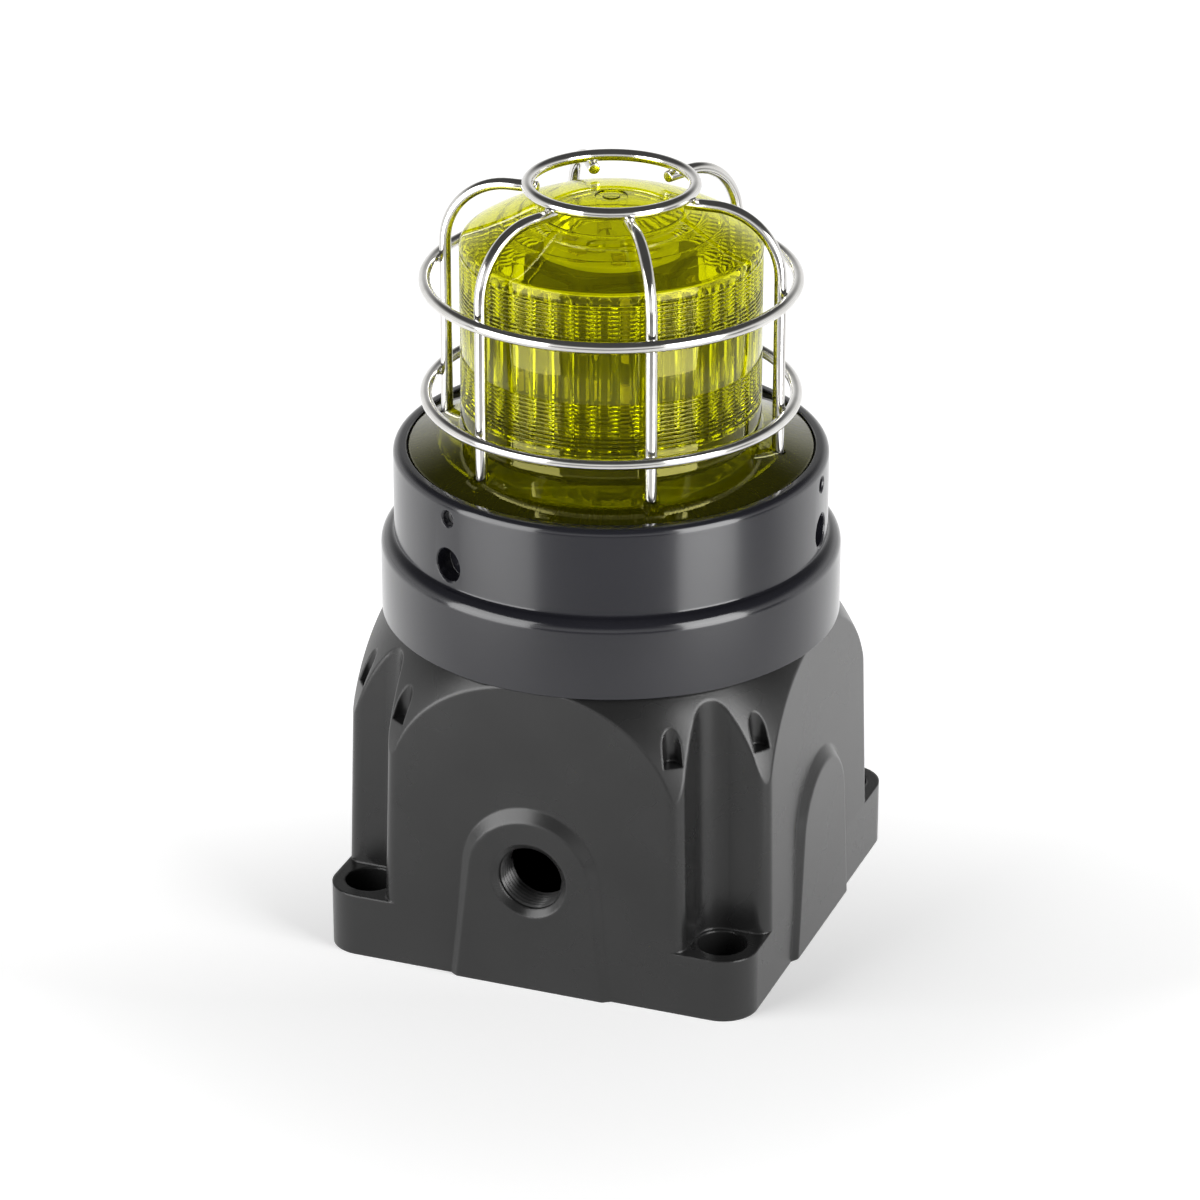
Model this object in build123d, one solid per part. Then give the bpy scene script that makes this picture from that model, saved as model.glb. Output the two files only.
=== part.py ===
from build123d import *
import os
from math import acos, asin, atan2, cos, pi, radians, sin, sqrt, tan

# LED warning beacon with a cast housing, a screwed cover, a yellow lens and a wire guard.
# Lengths are millimetres, +Z is up, the origin is the middle of the housing's underside,
# and the drilled cable entry faces -Y. Azimuths are degrees from -Y towards +X.

# Housing: plan and heights
body_side = 125.0
foot_corner_radius = 10.0
foot_height = 18.5
seat_height = 90.0
wall_draft = 1.3
seat_radius = 61.3
shoulder_radius = 56.0
shoulder_drop = 36.0
shoulder_edge_radius = 1.0

# Housing: corner pockets, fixing holes and small shoulder notches
pocket_depth = 18.3
pocket_corner_radius = 7.0
pocket_edge_radius = 4.0
fixing_spacing = 104.0
fixing_hole_radius = 4.5
fixing_head_radius = 7.0
fixing_head_depth = 9.0
notch_radius = 2.6
notch_circle_radius = 69.1
notch_angle_from_corner = 10.7
notch_floor_height = 72.8

# Housing: bosses on the four sides, and the cable entry in the front one
boss_radius = 17.5
boss_foot_half_width = 21.5
boss_height = 1.4
boss_root = 3.0
boss_bevel_angle = 57.0
boss_edge_radius = 1.4
entry_height = 33.7
entry_core_radius = 9.2
entry_mouth_radius = 11.2
entry_mouth_depth = 1.6

# Housing: chamber, neck and the bosses that carry the mounting plate
floor_thickness = 10.0
side_wall = 8.5
chamber_corner_radius = 4.0
neck_radius = 52.0
neck_length = 18.0
plate_boss_radius = 6.0
plate_boss_circle_radius = 48.5
plate_screw_inset = 2.0
plate_to_spigot = 3.8
tapped_m3_radius = 1.5
tapped_m4_radius = 1.65
tapped_m4_depth = 12.0
floor_tap_depth = 4.0
earth_boss_radius = 5.5
earth_boss_height = 4.0
earth_boss_place = (-42.0, 6.0)

# Cover: skirt, upper ring and the spigot that screws into the neck
seat_gap = 0.3
thread_clearance = 0.3
thread_pitch = 2.0
thread_turns = 6
spigot_plain_length = 4.5
spigot_chamfer = 1.0
skirt_radius = 63.6
skirt_height = 23.0
skirt_chamfer = 0.4
upper_ring_radius = 59.9
upper_ring_height = 25.3
rim_width = 3.8
rim_edge_radius = 2.2
recess_depth = 2.4
cover_bore_radius = 46.0
web_bore_radius = 43.5
web_thickness = 8.6
relief_radius = 52.0
relief_height = 7.5
guard_clocking = 3.5

# Cover: spanner holes and the lock screws above them
cross_hole_count = 3
spanner_hole_radius = 4.6
spanner_hole_depth = 5.0
spanner_hole_drop = 18.9
hole_chamfer = 0.5
lock_hole_radius = 2.1
lock_hole_depth = 9.0
lock_hole_drop = 5.3
lock_screw_radius = 2.0
lock_screw_length = 6.0
lock_screw_sink = 2.2
lock_socket_radius = 1.2
lock_socket_depth = 2.0

# Seal ring in the spigot's groove
seal_section_radius = 1.3
seal_clearance = 0.3
seal_drop = 2.6

# Lens: flange, ribbed wall and dome
cement_thickness = 0.4
flange_clearance = 0.2
flange_edge_height = 1.9
flange_edge_radius = 1.2
flange_slope = 23.5
lens_radius = 41.2
lens_wall = 3.1
lens_foot_radius = 0.8
lens_bore_flare = 2.0
foot_to_ribs = 7.6
rib_count = 12
rib_pitch = 1.17
rib_depth = 0.45
smooth_band_height = 14.2
ribs_to_dome = 1.4
dome_edge_radius = 3.0
dome_radius = 73.0
dome_ring_radii = (19.0, 23.5, 28.5, 33.5)
dome_ring_step = 0.45
gate_radius = 4.5
gate_depth = 0.4
gate_stub_radius = 2.4
reed_count = 45
reed_radius = 3.8
reed_height = 1.2
reed_root = 0.6
reed_foot_height = 6.0

# Guard: wire, rings and legs
wire_radius = 1.65
weld_sink = 0.1
leg_count = 6
leg_circle_radius = 47.4
leg_bend_radius = 18.5
leg_top_height = 210.4
leg_end_radius = 20.6
leg_foot_length = 5.2
leg_hole_radius = 2.15
top_ring_radius = 22.6
upper_ring_of_guard_height = 186.8
lower_ring_of_guard_height = 153.5
guard_nut_flats = 5.5
guard_nut_height = 2.6
guard_washer_radius = 3.5
guard_washer_thickness = 0.5
thread_play = 0.05

# Mounting plate and the pillars of the light unit
plate_radius = 50.5
plate_thickness = 2.0
wire_slot_radius = 7.0
pillar_count = 3
pillar_flats = 8.0
pillar_circle_radius = 27.0
pillar_stud_radius = 1.95
pillar_stud_length = 5.5
pillar_nut_height = 3.2

# Light unit: base cup, heat sink column, boards and LEDs
light_base_height = 128.3
light_base_radius = 36.0
light_base_thickness = 4.0
light_cup_wall = 3.0
light_cup_height = 22.0
strip_count = 6
column_apothem = 20.0
column_wall = 3.0
column_height = 62.0
column_top_thickness = 4.0
strip_width = 17.0
strip_thickness = 1.6
strip_margin = 2.0
strip_foot_gap = 1.0
strip_led_rows = 5
led_side = 3.5
led_height = 1.4
top_board_radius = 18.0
top_led_circle_radius = 11.5
top_led_count = 6
top_screw_circle_radius = 5.5
top_screw_count = 3

# Power supply, terminals and earth point
driver_board_size = (62.0, 44.0)
driver_board_place = (0.0, 4.0)
driver_board_thickness = 1.6
board_spacer_height = 8.0
board_spacer_radius = 3.5
board_hole_inset = 4.0
transformer_size = (26.0, 20.0, 18.0)
transformer_place = (9.0, 12.0)
capacitor_radius = 6.0
capacitor_height = 20.0
capacitor_edge_radius = 0.8
crimp_height = 3.0
crimp_radius = 0.6
capacitor_places = ((-18.0, 16.0), (-16.0, 2.5))
terminal_size = (44.0, 11.0, 12.0)
terminal_place = (0.0, -11.0)
terminal_count = 8
terminal_hole_radius = 2.0
terminal_wire_side = 3.2
terminal_wire_depth = 4.0
terminal_screw_radius = 1.8
terminal_screw_sink = 2.0

# Screws
m4_radius = 1.6
m4_head_radius = 3.5
m4_head_height = 2.6
m4_length = 10.0
m3_radius = 1.45
m3_head_radius = 2.75
m3_head_height = 2.0
m3_length = 6.0
floor_thread_length = 3.0
screw_clearance = 0.3
head_rounding = 0.4
slot_width = 0.9
slot_depth = 1.0
earth_washer_radius = 5.0
earth_washer_thickness = 1.0

# Heights and radii that follow from the sizes above
half_side = body_side / 2
chamber_radius = half_side - side_wall
boss_face = half_side + boss_height
shoulder_centre_height = seat_height - shoulder_drop
shoulder_centre_radius = seat_radius - sqrt(shoulder_radius ** 2 - shoulder_drop ** 2)
plate_screw_circle = plate_boss_circle_radius - plate_screw_inset

spigot_radius = neck_radius - thread_clearance
engaged_length = thread_pitch * thread_turns
skirt_bottom = seat_height + seat_gap
spigot_bottom = skirt_bottom - spigot_plain_length - engaged_length
skirt_top = skirt_bottom + skirt_height
rim_top = skirt_top + upper_ring_height
recess_radius = upper_ring_radius - rim_width
recess_floor = rim_top - recess_depth
web_bottom = recess_floor - web_thickness
plate_top = spigot_bottom - plate_to_spigot
plate_seat_height = plate_top - plate_thickness

flange_bottom = recess_floor + cement_thickness
flange_radius = recess_radius - flange_clearance
flange_edge_top = flange_bottom + flange_edge_height
lens_foot_height = flange_edge_top + (flange_radius - lens_radius) * tan(radians(flange_slope))
lens_bore_radius = lens_radius - lens_wall
ribs_start = lens_foot_height + foot_to_ribs
upper_ribs_start = ribs_start + rib_count * rib_pitch + smooth_band_height
lens_wall_top = upper_ribs_start + rib_count * rib_pitch + ribs_to_dome
dome_centre_height = lens_wall_top - sqrt(
    (dome_radius - dome_edge_radius) ** 2 - (lens_radius - dome_edge_radius) ** 2)
dome_inner_radius = dome_radius - lens_wall

ring_of_guard_radius = leg_circle_radius + 2 * wire_radius - weld_sink
top_ring_height = leg_top_height + 2 * wire_radius - weld_sink

light_base_top = light_base_height + light_base_thickness
column_top = light_base_top + column_height
strip_bottom = light_base_height + light_cup_height + strip_foot_gap
board_floor = floor_thickness + board_spacer_height
board_top = board_floor + driver_board_thickness

os.makedirs("parts", exist_ok=True)


def save(node, shape):
    """Write one node's solids to its own file."""
    export_step(shape, "parts/" + node + ".step")


def at_azimuth(azimuth):
    """Rotation that brings something from +X round to an azimuth from -Y towards +X."""
    return Rot(0, 0, azimuth - 90)


def upright(radius, bottom, top):
    """Upright cylinder on the Z axis between two heights."""
    return Pos(0, 0, bottom) * Cylinder(radius, top - bottom, align=(Align.CENTER, Align.CENTER, Align.MIN))


def tube(outer, inner, bottom, top):
    """Upright tube between two heights."""
    return upright(outer, bottom, top) - upright(inner, bottom - 1, top + 1)


def prism(flats, bottom, top):
    """Upright hexagonal prism, given its width across flats."""
    hexagon = RegularPolygon(flats / 2, 6, major_radius=False)
    return extrude(Pos(0, 0, bottom) * hexagon, top - bottom)


def block(size, place, bottom):
    """Rectangular block standing at a place."""
    seat = Pos(place[0], place[1], bottom)
    return seat * Box(*size, align=(Align.CENTER, Align.CENTER, Align.MIN))


def turned(outline):
    """Solid of revolution about Z of a face drawn as radius and height."""
    return revolve(Plane.XZ * outline, axis=Axis.Z)


def corner_near(face, radius, height):
    """The corner of a drawn face that lies nearest to a radius and height."""
    return face.vertices().sort_by_distance((radius, height, 0))[0]


def pan_screw(radius, head_radius, head_height, length):
    """Slotted pan-head screw, its head standing on Z = 0."""
    shank = upright(radius, -length, 0.5)
    head = upright(head_radius, 0, head_height)
    head = fillet(head.edges().sort_by(Axis.Z)[-1], head_height * head_rounding)
    slot = Pos(0, 0, head_height) * Box(3 * head_radius, slot_width, 2 * slot_depth)
    return head + shank - slot


def gather(shapes):
    """Separate solids of like pieces, kept together as one node."""
    return Compound(children=[shape for shape in shapes])


# Housing


def drafted_column():
    """Square above the feet, leaning in with the mould draft, with a rounded notch at each corner."""
    height = seat_height - foot_height
    narrow = body_side - 2 * pocket_depth
    column = extrude(Pos(0, 0, foot_height) * Rectangle(body_side, narrow), height, taper=wall_draft)
    column += extrude(Pos(0, 0, foot_height) * Rectangle(narrow, body_side), height, taper=wall_draft)
    uprights = [e for e in column.edges() if e.bounding_box().size.Z > height / 2]
    uprights.sort(key=lambda e: e.center().X ** 2 + e.center().Y ** 2)
    column = fillet(uprights[:4], pocket_corner_radius)
    uprights = [e for e in column.edges() if e.bounding_box().size.Z > height / 2]
    side = half_side - pocket_edge_radius
    corners = [e for e in uprights if max(abs(e.center().X), abs(e.center().Y)) > side]
    return fillet(corners, pocket_edge_radius)


def shoulder_form():
    """Turned form that rounds the housing from its seat down to its sides."""
    top_angle = asin(shoulder_drop / shoulder_radius)
    middle = (
        shoulder_centre_radius + shoulder_radius * cos(top_angle / 2),
        shoulder_centre_height + shoulder_radius * sin(top_angle / 2),
    )
    side = shoulder_centre_radius + shoulder_radius
    curve = ThreePointArc((side, shoulder_centre_height), middle, (seat_radius, seat_height))
    rest = Polyline(
        (seat_radius, seat_height), (0, seat_height), (0, 0), (body_side, 0),
        (body_side, shoulder_centre_height), (side, shoulder_centre_height))
    return turned(make_face([curve, rest]))


def side_boss():
    """Raised arch-topped pad on the front face, down to the base, with its root in the wall."""
    reach = sqrt(boss_foot_half_width ** 2 + entry_height ** 2)
    tangent = atan2(-entry_height, boss_foot_half_width) + acos(boss_radius / reach)
    side = (boss_radius * cos(tangent), entry_height + boss_radius * sin(tangent))
    spread = (boss_foot_half_width - side[0]) / side[1]
    below = -boss_radius
    foot = (boss_foot_half_width - below * spread, below)
    sides = Polyline((side[0], side[1]), (foot[0], below), (-foot[0], below), (-side[0], side[1]))
    arch = ThreePointArc((-side[0], side[1]), (0, entry_height + boss_radius), (side[0], side[1]))
    inward = Plane(origin=(0, -boss_face, 0), x_dir=(-1, 0, 0), z_dir=(0, 1, 0))
    pad = extrude(inward * make_face([sides, arch]), boss_height + boss_root, taper=-boss_bevel_angle)
    rim = pad.faces().sort_by(Axis.Y)[0].edges()
    pad = fillet(rim, boss_edge_radius)
    above_base = Pos(0, -half_side, 0) * Box(
        body_side, 4 * boss_root, seat_height, align=(Align.CENTER, Align.CENTER, Align.MIN))
    return pad & above_base


def shoulder_notch():
    """Upright notch in the shoulder at +X: round at its inner end and open outwards."""
    height = seat_height - notch_floor_height
    reach = half_side / 4
    mouth = Box(reach, 2 * notch_radius, height, align=(Align.MIN, Align.CENTER, Align.MIN))
    round_end = upright(notch_radius, notch_floor_height, seat_height)
    return Pos(notch_circle_radius, 0, 0) * (round_end + Pos(0, 0, notch_floor_height) * mouth)


def cable_entry():
    """Core of the front entry's thread, with its bevelled mouth."""
    outward = Plane(origin=(0, -boss_face, entry_height), x_dir=(1, 0, 0), z_dir=(0, -1, 0))
    length = boss_face - chamber_radius + entry_core_radius
    core = outward * Pos(0, 0, -length / 2) * Cylinder(entry_core_radius, length)
    mouth = outward * Pos(0, 0, -entry_mouth_depth / 2) * Cone(
        entry_core_radius, entry_mouth_radius, entry_mouth_depth)
    return core + mouth


def chamber():
    """Hollow of the housing: the round chamber and the narrower neck above it."""
    neck_bottom = seat_height - neck_length
    outline = make_face(Polyline(
        (0, floor_thickness), (chamber_radius, floor_thickness), (chamber_radius, neck_bottom),
        (neck_radius, neck_bottom + 2), (neck_radius, seat_height + 1), (0, seat_height + 1),
        (0, floor_thickness)))
    outline = fillet(corner_near(outline, chamber_radius, floor_thickness), chamber_corner_radius)
    return turned(outline)


def build_housing():
    feet = extrude(RectangleRounded(body_side, body_side, foot_corner_radius), foot_height)
    column = drafted_column() & shoulder_form()
    rounds = column.faces().filter_by(GeomType.REVOLUTION).edges()
    column = fillet([e for e in rounds if e.center().Z < seat_height - 0.01], shoulder_edge_radius)
    housing = feet + column
    for quarter in range(4):
        housing += Rot(0, 0, 90 * quarter) * side_boss()
        for side in (-1, 1):
            azimuth = 45 + 90 * quarter + side * notch_angle_from_corner
            housing -= at_azimuth(azimuth) * shoulder_notch()
    housing -= chamber()
    for quarter in range(4):
        boss = upright(plate_boss_radius, floor_thickness - 1, plate_seat_height)
        tapped = upright(tapped_m4_radius, plate_seat_height - tapped_m4_depth, plate_seat_height + 1)
        place = at_azimuth(45 + 90 * quarter) * Pos(plate_boss_circle_radius, 0, 0)
        housing += place * boss
        screw_place = at_azimuth(45 + 90 * quarter) * Pos(plate_screw_circle, 0, 0)
        housing -= screw_place * tapped
    earth = upright(earth_boss_radius, floor_thickness - 1, floor_thickness + earth_boss_height)
    earth_hole = upright(
        tapped_m4_radius, floor_thickness - floor_tap_depth, floor_thickness + earth_boss_height + 1)
    housing += Pos(*earth_boss_place) * earth
    housing -= Pos(*earth_boss_place) * earth_hole
    for x, y in driver_board_holes():
        tapped = upright(tapped_m3_radius, floor_thickness - floor_tap_depth, floor_thickness + 1)
        housing -= Pos(x, y) * tapped
    for side_x in (-1, 1):
        for side_y in (-1, 1):
            place = Pos(side_x * fixing_spacing / 2, side_y * fixing_spacing / 2)
            housing -= place * upright(fixing_hole_radius, -1, foot_height + 1)
            housing -= place * upright(
                fixing_head_radius, foot_height - fixing_head_depth, foot_height + 1)
    return housing - cable_entry()


def driver_board_holes():
    """Places of the four screws of the driver board."""
    reach_x = driver_board_size[0] / 2 - board_hole_inset
    reach_y = driver_board_size[1] / 2 - board_hole_inset
    centre_x, centre_y = driver_board_place
    return [(centre_x + sx * reach_x, centre_y + sy * reach_y) for sx in (-1, 1) for sy in (-1, 1)]


# Cover


def seal_groove():
    """Groove of the seal ring: inner radius, lowest and highest point."""
    centre = neck_radius - seal_clearance - seal_section_radius
    half_height = seal_section_radius + seal_clearance
    height = skirt_bottom - seal_drop
    return centre - seal_section_radius - seal_clearance, height - half_height, height + half_height


def cover_outline():
    """Half section of the cover as radius and height."""
    step = skirt_radius - upper_ring_radius
    groove_radius, groove_bottom, groove_top = seal_groove()
    lower = Polyline(
        (cover_bore_radius, spigot_bottom), (spigot_radius, spigot_bottom),
        (spigot_radius, groove_bottom), (groove_radius, groove_bottom), (groove_radius, groove_top),
        (spigot_radius, groove_top), (spigot_radius, skirt_bottom), (skirt_radius, skirt_bottom),
        (skirt_radius, skirt_top - step))
    shoulder = ThreePointArc(
        (skirt_radius, skirt_top - step),
        (upper_ring_radius + step * cos(pi / 4), skirt_top - step + step * sin(pi / 4)),
        (upper_ring_radius, skirt_top))
    upper = Polyline(
        (upper_ring_radius, skirt_top), (upper_ring_radius, rim_top), (recess_radius, rim_top),
        (recess_radius, recess_floor), (web_bore_radius, recess_floor), (web_bore_radius, web_bottom),
        (relief_radius, web_bottom), (relief_radius, web_bottom - relief_height),
        (cover_bore_radius, web_bottom - relief_height), (cover_bore_radius, spigot_bottom))
    face = make_face([lower, shoulder, upper])
    face = fillet(corner_near(face, upper_ring_radius, rim_top), rim_edge_radius)
    face = chamfer(corner_near(face, spigot_radius, spigot_bottom), spigot_chamfer)
    return chamfer(corner_near(face, skirt_radius, skirt_bottom), skirt_chamfer)


def cross_hole(radius, depth, azimuth, height):
    """Blind radial hole in the upper ring, with a small bevel at its mouth."""
    place = at_azimuth(azimuth) * Pos(upper_ring_radius, 0, height) * Rot(0, 90, 0)
    hole = Pos(0, 0, -depth / 2 + 1) * Cylinder(radius, depth + 2)
    bevel = Pos(0, 0, hole_chamfer / 2) * Cone(radius, radius + 3 * hole_chamfer, 3 * hole_chamfer)
    return place * (hole + bevel)


def cross_azimuths():
    first = guard_clocking - 180 / leg_count
    return [first + 360 / cross_hole_count * index for index in range(cross_hole_count)]


def leg_azimuths():
    return [guard_clocking + 180 / leg_count + 360 / leg_count * index for index in range(leg_count)]


def build_cover():
    cover = turned(cover_outline())
    for azimuth in cross_azimuths():
        cover -= cross_hole(spanner_hole_radius, spanner_hole_depth, azimuth, rim_top - spanner_hole_drop)
        cover -= cross_hole(lock_hole_radius, lock_hole_depth, azimuth, rim_top - lock_hole_drop)
    for azimuth in leg_azimuths():
        hole = upright(wire_radius + thread_play, web_bottom - 1, recess_floor + 1)
        cover -= at_azimuth(azimuth) * Pos(leg_circle_radius, 0, 0) * hole
    return cover


def build_seal():
    height = skirt_bottom - seal_drop
    centre = neck_radius - seal_clearance - seal_section_radius
    return Pos(0, 0, height) * Torus(centre, seal_section_radius)


def build_lock_screws():
    screws = []
    for azimuth in cross_azimuths():
        outer = upper_ring_radius - lock_screw_sink
        place = at_azimuth(azimuth) * Pos(outer, 0, rim_top - lock_hole_drop) * Rot(0, 90, 0)
        body = Pos(0, 0, -lock_screw_length / 2) * Cylinder(lock_screw_radius, lock_screw_length)
        socket = extrude(RegularPolygon(lock_socket_radius, 6), lock_screw_length)
        screws.append(place * (body - Pos(0, 0, -lock_socket_depth) * socket))
    return gather(screws)


# Lens


def rib_points(bottom):
    """Zigzag of the horizontal ribs, going up from a height."""
    points = []
    for index in range(rib_count):
        base = bottom + index * rib_pitch
        points.append((lens_radius, base))
        points.append((lens_radius - rib_depth, base + rib_pitch / 2))
    points.append((lens_radius, bottom + rib_count * rib_pitch))
    return points


def dome_inside(radius):
    """Height of the dome's inner surface at a radius."""
    return dome_centre_height + sqrt(dome_inner_radius ** 2 - radius ** 2)


def lens_outline():
    """Half section of the lens as radius and height."""
    centre = (lens_radius - dome_edge_radius, lens_wall_top)
    lean = atan2(lens_wall_top - dome_centre_height, centre[0])
    edge_middle = (
        centre[0] + dome_edge_radius * cos(lean / 2), centre[1] + dome_edge_radius * sin(lean / 2))
    edge_end = (dome_radius * cos(lean), dome_centre_height + dome_radius * sin(lean))
    gate_height = dome_centre_height + sqrt(dome_radius ** 2 - gate_radius ** 2)
    middle_angle = (lean + asin(sqrt(1 - (gate_radius / dome_radius) ** 2))) / 2
    dome_middle = (dome_radius * cos(middle_angle), dome_centre_height + dome_radius * sin(middle_angle))

    outside = Polyline(
        (flange_radius, flange_bottom), (flange_radius, flange_edge_top), (lens_radius, lens_foot_height),
        *rib_points(ribs_start), *rib_points(upper_ribs_start), (lens_radius, lens_wall_top))
    edge = ThreePointArc((lens_radius, lens_wall_top), edge_middle, edge_end)
    dome = ThreePointArc(edge_end, dome_middle, (gate_radius, gate_height))
    inside = []
    inner = 0.0
    for ring in dome_ring_radii:
        inside.append((inner, dome_inside(inner)))
        inside.append((ring, dome_inside(ring)))
        inner = ring
        inside.append((ring, dome_inside(ring) - dome_ring_step))
    inside.append((lens_bore_radius, dome_inside(lens_bore_radius)))
    bore_foot = flange_edge_top + lens_bore_flare
    inside.append((lens_bore_radius, bore_foot))
    inside.append((web_bore_radius + lens_bore_flare, flange_bottom))
    floor = Polyline(
        (gate_radius, gate_height), (gate_radius, gate_height - gate_depth),
        (gate_stub_radius, gate_height - gate_depth), (gate_stub_radius, gate_height),
        (0, gate_height), *inside, (flange_radius, flange_bottom))
    face = make_face([outside, edge, dome, floor])
    face = fillet(corner_near(face, lens_radius, lens_foot_height), lens_foot_radius)
    return fillet(corner_near(face, flange_radius, flange_edge_top), flange_edge_radius)


def reeding():
    """Upright half-round reeds that stand inwards from the lens's bore."""
    centre_radius = lens_bore_radius - reed_height + reed_radius
    ring = Circle(lens_bore_radius + reed_root)
    plan = Pos(centre_radius, 0) * Circle(reed_radius)
    for index in range(1, reed_count):
        plan += Rot(0, 0, 360 / reed_count * index) * Pos(centre_radius, 0) * Circle(reed_radius)
    plan = (plan - Circle(lens_bore_radius - 2 * reed_height)) & ring
    bottom = lens_foot_height + reed_foot_height
    top = lens_wall_top
    return extrude(Pos(0, 0, bottom) * plan, top - bottom)


def build_lens():
    lens = turned(lens_outline())
    lens += reeding()
    for azimuth in leg_azimuths():
        hole = upright(leg_hole_radius, flange_bottom - 1, lens_foot_height + 1)
        lens -= at_azimuth(azimuth) * Pos(leg_circle_radius, 0, 0) * hole
    return lens


def build_lens_cement():
    ring = tube(flange_radius, web_bore_radius + lens_bore_flare, recess_floor, flange_bottom)
    for azimuth in leg_azimuths():
        hole = upright(leg_hole_radius, recess_floor - 1, flange_bottom + 1)
        ring -= at_azimuth(azimuth) * Pos(leg_circle_radius, 0, 0) * hole
    return ring


# Guard


def build_leg(azimuth):
    """Bent wire leg, from its foot under the web to its weld below the top ring."""
    foot = web_bottom - leg_foot_length
    bend_start = leg_top_height - leg_bend_radius
    bend_end = leg_circle_radius - leg_bend_radius
    middle = (
        bend_end + leg_bend_radius * cos(pi / 4), 0, bend_start + leg_bend_radius * sin(pi / 4))
    path = Line((leg_circle_radius, 0, foot), (leg_circle_radius, 0, bend_start))
    path += ThreePointArc(
        (leg_circle_radius, 0, bend_start), middle, (bend_end, 0, leg_top_height))
    path += Line((bend_end, 0, leg_top_height), (leg_end_radius, 0, leg_top_height))
    section = Pos(leg_circle_radius, 0, foot) * Circle(wire_radius)
    return at_azimuth(azimuth) * sweep(section, path=path)


def build_guard_nuts():
    nuts = []
    top = web_bottom - guard_washer_thickness
    for azimuth in leg_azimuths():
        nut = prism(guard_nut_flats, top - guard_nut_height, top)
        nut -= upright(wire_radius + thread_play, top - guard_nut_height - 1, top + 1)
        nuts.append(at_azimuth(azimuth) * Pos(leg_circle_radius, 0, 0) * nut)
    return gather(nuts)


def build_guard_washers():
    washers = []
    for azimuth in leg_azimuths():
        washer = tube(
            guard_washer_radius, wire_radius + 2 * thread_play, web_bottom - guard_washer_thickness,
            web_bottom)
        washers.append(at_azimuth(azimuth) * Pos(leg_circle_radius, 0, 0) * washer)
    return gather(washers)


# Light unit

pillar_azimuths = [180 / pillar_count + 360 / pillar_count * index for index in range(pillar_count)]


def build_mounting_plate():
    plate = upright(plate_radius, plate_seat_height, plate_top)
    for quarter in range(4):
        hole = upright(m4_radius + screw_clearance, plate_seat_height - 1, plate_top + 1)
        plate -= at_azimuth(45 + 90 * quarter) * Pos(plate_screw_circle, 0, 0) * hole
    for azimuth in pillar_azimuths:
        hole = upright(pillar_stud_radius + thread_play, plate_seat_height - 1, plate_top + 1)
        plate -= at_azimuth(azimuth) * Pos(pillar_circle_radius, 0, 0) * hole
    return plate - upright(wire_slot_radius, plate_seat_height - 1, plate_top + 1)


def build_plate_screws():
    screws = []
    for quarter in range(4):
        screw = Pos(0, 0, plate_top) * pan_screw(m4_radius, m4_head_radius, m4_head_height, m4_length)
        screws.append(at_azimuth(45 + 90 * quarter) * Pos(plate_screw_circle, 0, 0) * screw)
    return gather(screws)


def build_pillar(azimuth):
    """Hexagonal spacer with a stud at its foot and a tapped hole in its head."""
    pillar = prism(pillar_flats, plate_top, light_base_height)
    pillar += upright(pillar_stud_radius, plate_seat_height - pillar_stud_length, plate_top + 1)
    pillar -= upright(tapped_m4_radius, light_base_height - tapped_m4_depth, light_base_height + 1)
    return at_azimuth(azimuth) * Pos(pillar_circle_radius, 0, 0) * pillar


def build_pillar_nuts():
    nuts = []
    for azimuth in pillar_azimuths:
        nut = prism(pillar_flats - 1, plate_seat_height - pillar_nut_height, plate_seat_height)
        nut -= upright(
            pillar_stud_radius + thread_play, plate_seat_height - pillar_nut_height - 1,
            plate_seat_height + 1)
        nuts.append(at_azimuth(azimuth) * Pos(pillar_circle_radius, 0, 0) * nut)
    return gather(nuts)


def build_light_base():
    """Black cup that carries the column and hides the wiring."""
    cup = upright(light_base_radius, light_base_height, light_base_height + light_cup_height)
    cup -= upright(
        light_base_radius - light_cup_wall, light_base_top, light_base_height + light_cup_height + 1)
    for azimuth in pillar_azimuths:
        hole = upright(m4_radius + screw_clearance, light_base_height - 1, light_base_top + 1)
        cup -= at_azimuth(azimuth) * Pos(pillar_circle_radius, 0, 0) * hole
    return cup - upright(wire_slot_radius, light_base_height - 1, light_base_top + 1)


def build_base_screws():
    screws = []
    for azimuth in pillar_azimuths:
        screw = Pos(0, 0, light_base_top) * pan_screw(m4_radius, m4_head_radius, m4_head_height, m4_length)
        screws.append(at_azimuth(azimuth) * Pos(pillar_circle_radius, 0, 0) * screw)
    return gather(screws)


def strip_azimuths():
    return [180 / strip_count + 360 / strip_count * index for index in range(strip_count)]


def top_screw_places():
    turns = [at_azimuth(90 + 360 / top_screw_count * index) for index in range(top_screw_count)]
    return [turn * Pos(top_screw_circle_radius, 0, 0) for turn in turns]


def build_light_column():
    """Hexagonal aluminium tube, closed at the top, whose flats cool the boards."""
    outer = prism(2 * column_apothem, light_base_top, column_top)
    inner = prism(
        2 * (column_apothem - column_wall), light_base_top - 1, column_top - column_top_thickness)
    column = at_azimuth(0) * (outer - inner)
    for place in top_screw_places():
        column -= place * upright(tapped_m3_radius, column_top - column_top_thickness - 1, column_top + 1)
    return column


def build_strip(azimuth):
    height = column_top - strip_margin - strip_bottom
    board = Box(
        strip_thickness, strip_width, height, align=(Align.MIN, Align.CENTER, Align.MIN))
    return at_azimuth(azimuth) * Pos(column_apothem, 0, strip_bottom) * board


def build_strip_leds():
    leds = []
    height = column_top - strip_margin - strip_bottom
    for azimuth in strip_azimuths():
        for row in range(strip_led_rows):
            z = strip_bottom + height * (row + 0.5) / strip_led_rows
            led = Box(led_height, led_side, led_side, align=(Align.MIN, Align.CENTER, Align.CENTER))
            leds.append(at_azimuth(azimuth) * Pos(column_apothem + strip_thickness, 0, z) * led)
    return gather(leds)


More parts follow.
